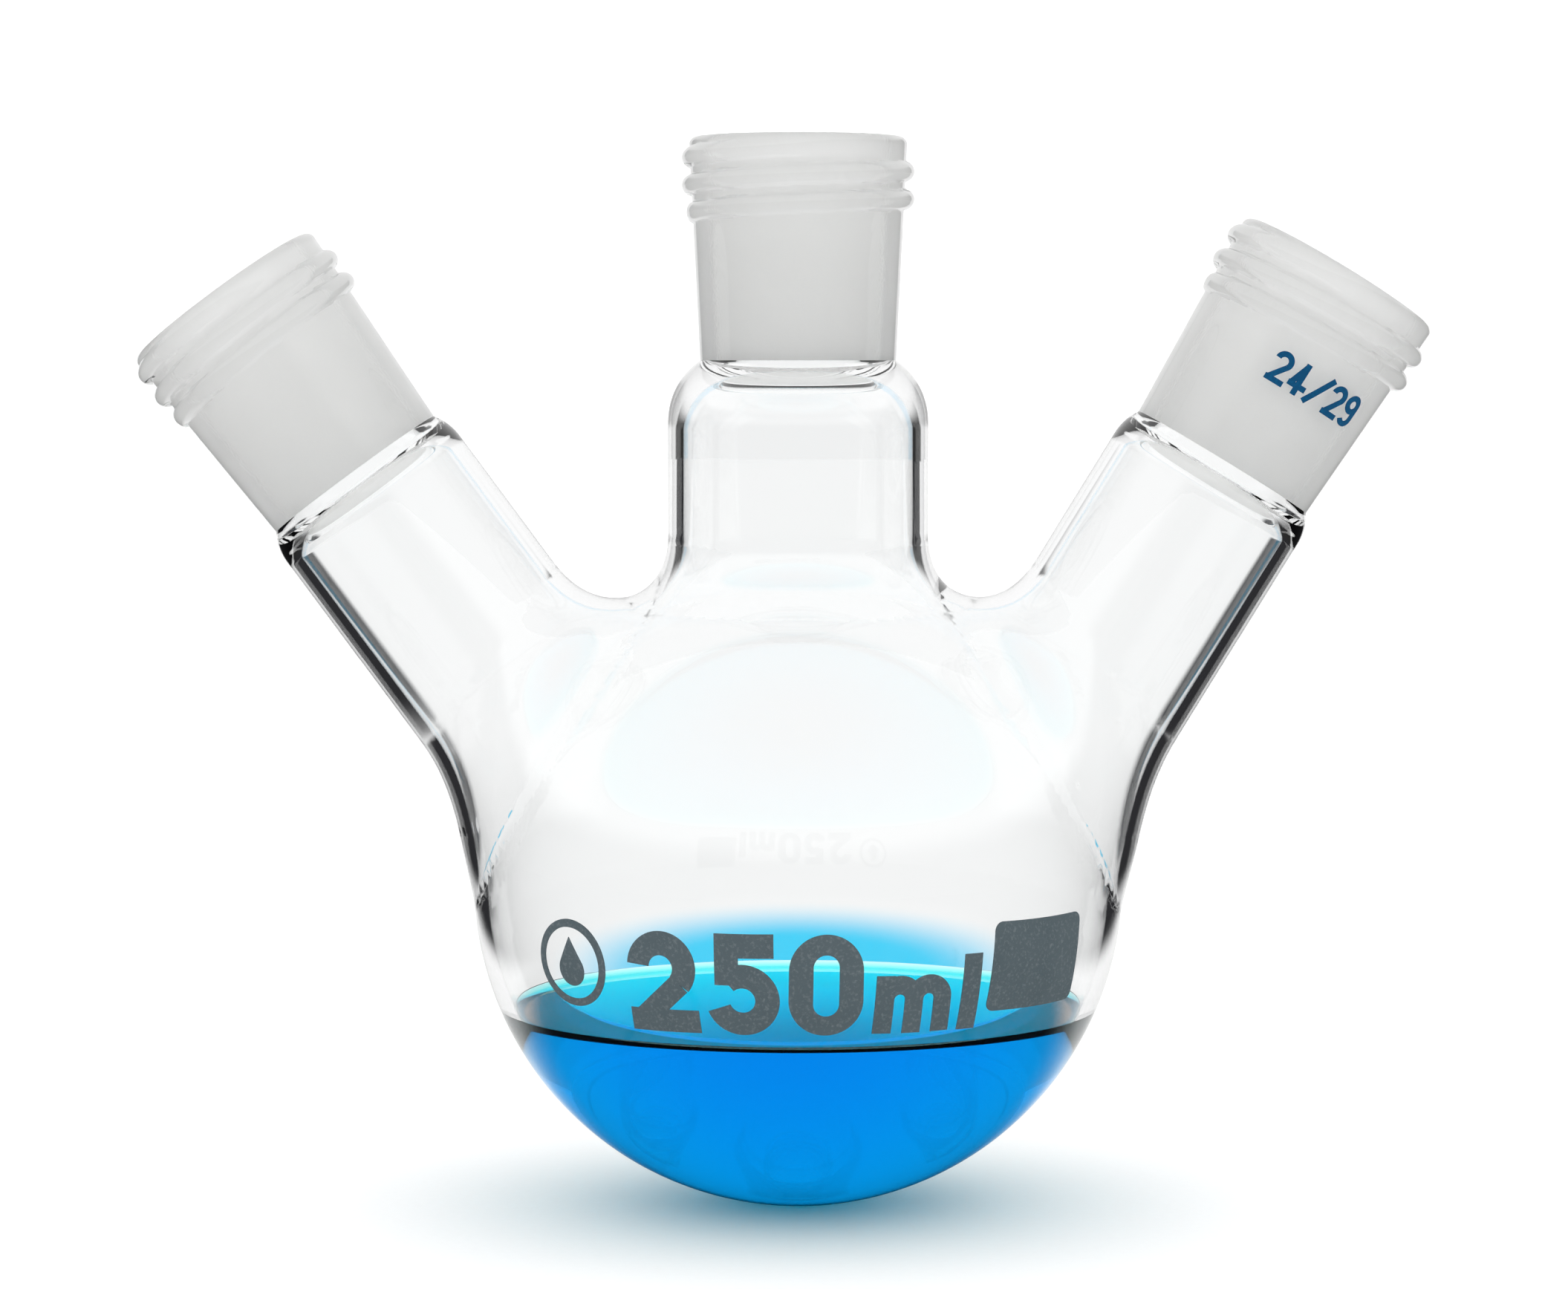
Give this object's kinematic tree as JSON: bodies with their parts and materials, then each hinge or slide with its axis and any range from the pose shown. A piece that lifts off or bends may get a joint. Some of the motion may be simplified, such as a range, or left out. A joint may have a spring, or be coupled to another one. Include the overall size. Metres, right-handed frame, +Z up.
{
  "type": "multi-neck round bottom flask",
  "caption": "Round bottom flask with an upright neck and two slanted side necks, each with a ground socket and an outer screw thread, part-filled with clear blue liquid",
  "frame": {"origin": "lowest point of the bulb, on the axis of the centre neck", "axes": "+Z up along the centre neck, +X to the right neck, -Y to the printed front"},
  "size_m": [0.1684, 0.085, 0.1398],
  "materials": {
    "clear_glass": "clear fire-polished borosilicate glass",
    "ground_glass": "clear outside, frosted ground bore",
    "blue_liquid": "clear blue watery liquid",
    "grey_enamel": "fired grey enamel print, matt",
    "blue_enamel": "fired blue enamel print, matt"
  },
  "bodies": {
    "root": {"bulb": "clear_glass", "centre_neck": "clear_glass", "left_neck": "clear_glass", "right_neck": "clear_glass", "centre_socket": "ground_glass", "left_socket": "ground_glass", "right_socket": "ground_glass", "blue_liquid": "blue_liquid", "capacity_numerals": "grey_enamel", "capacity_unit": "grey_enamel", "write_on_patch": "grey_enamel", "droplet_mark": "grey_enamel", "joint_size_mark": "blue_enamel"}
  },
  "joints": []
}
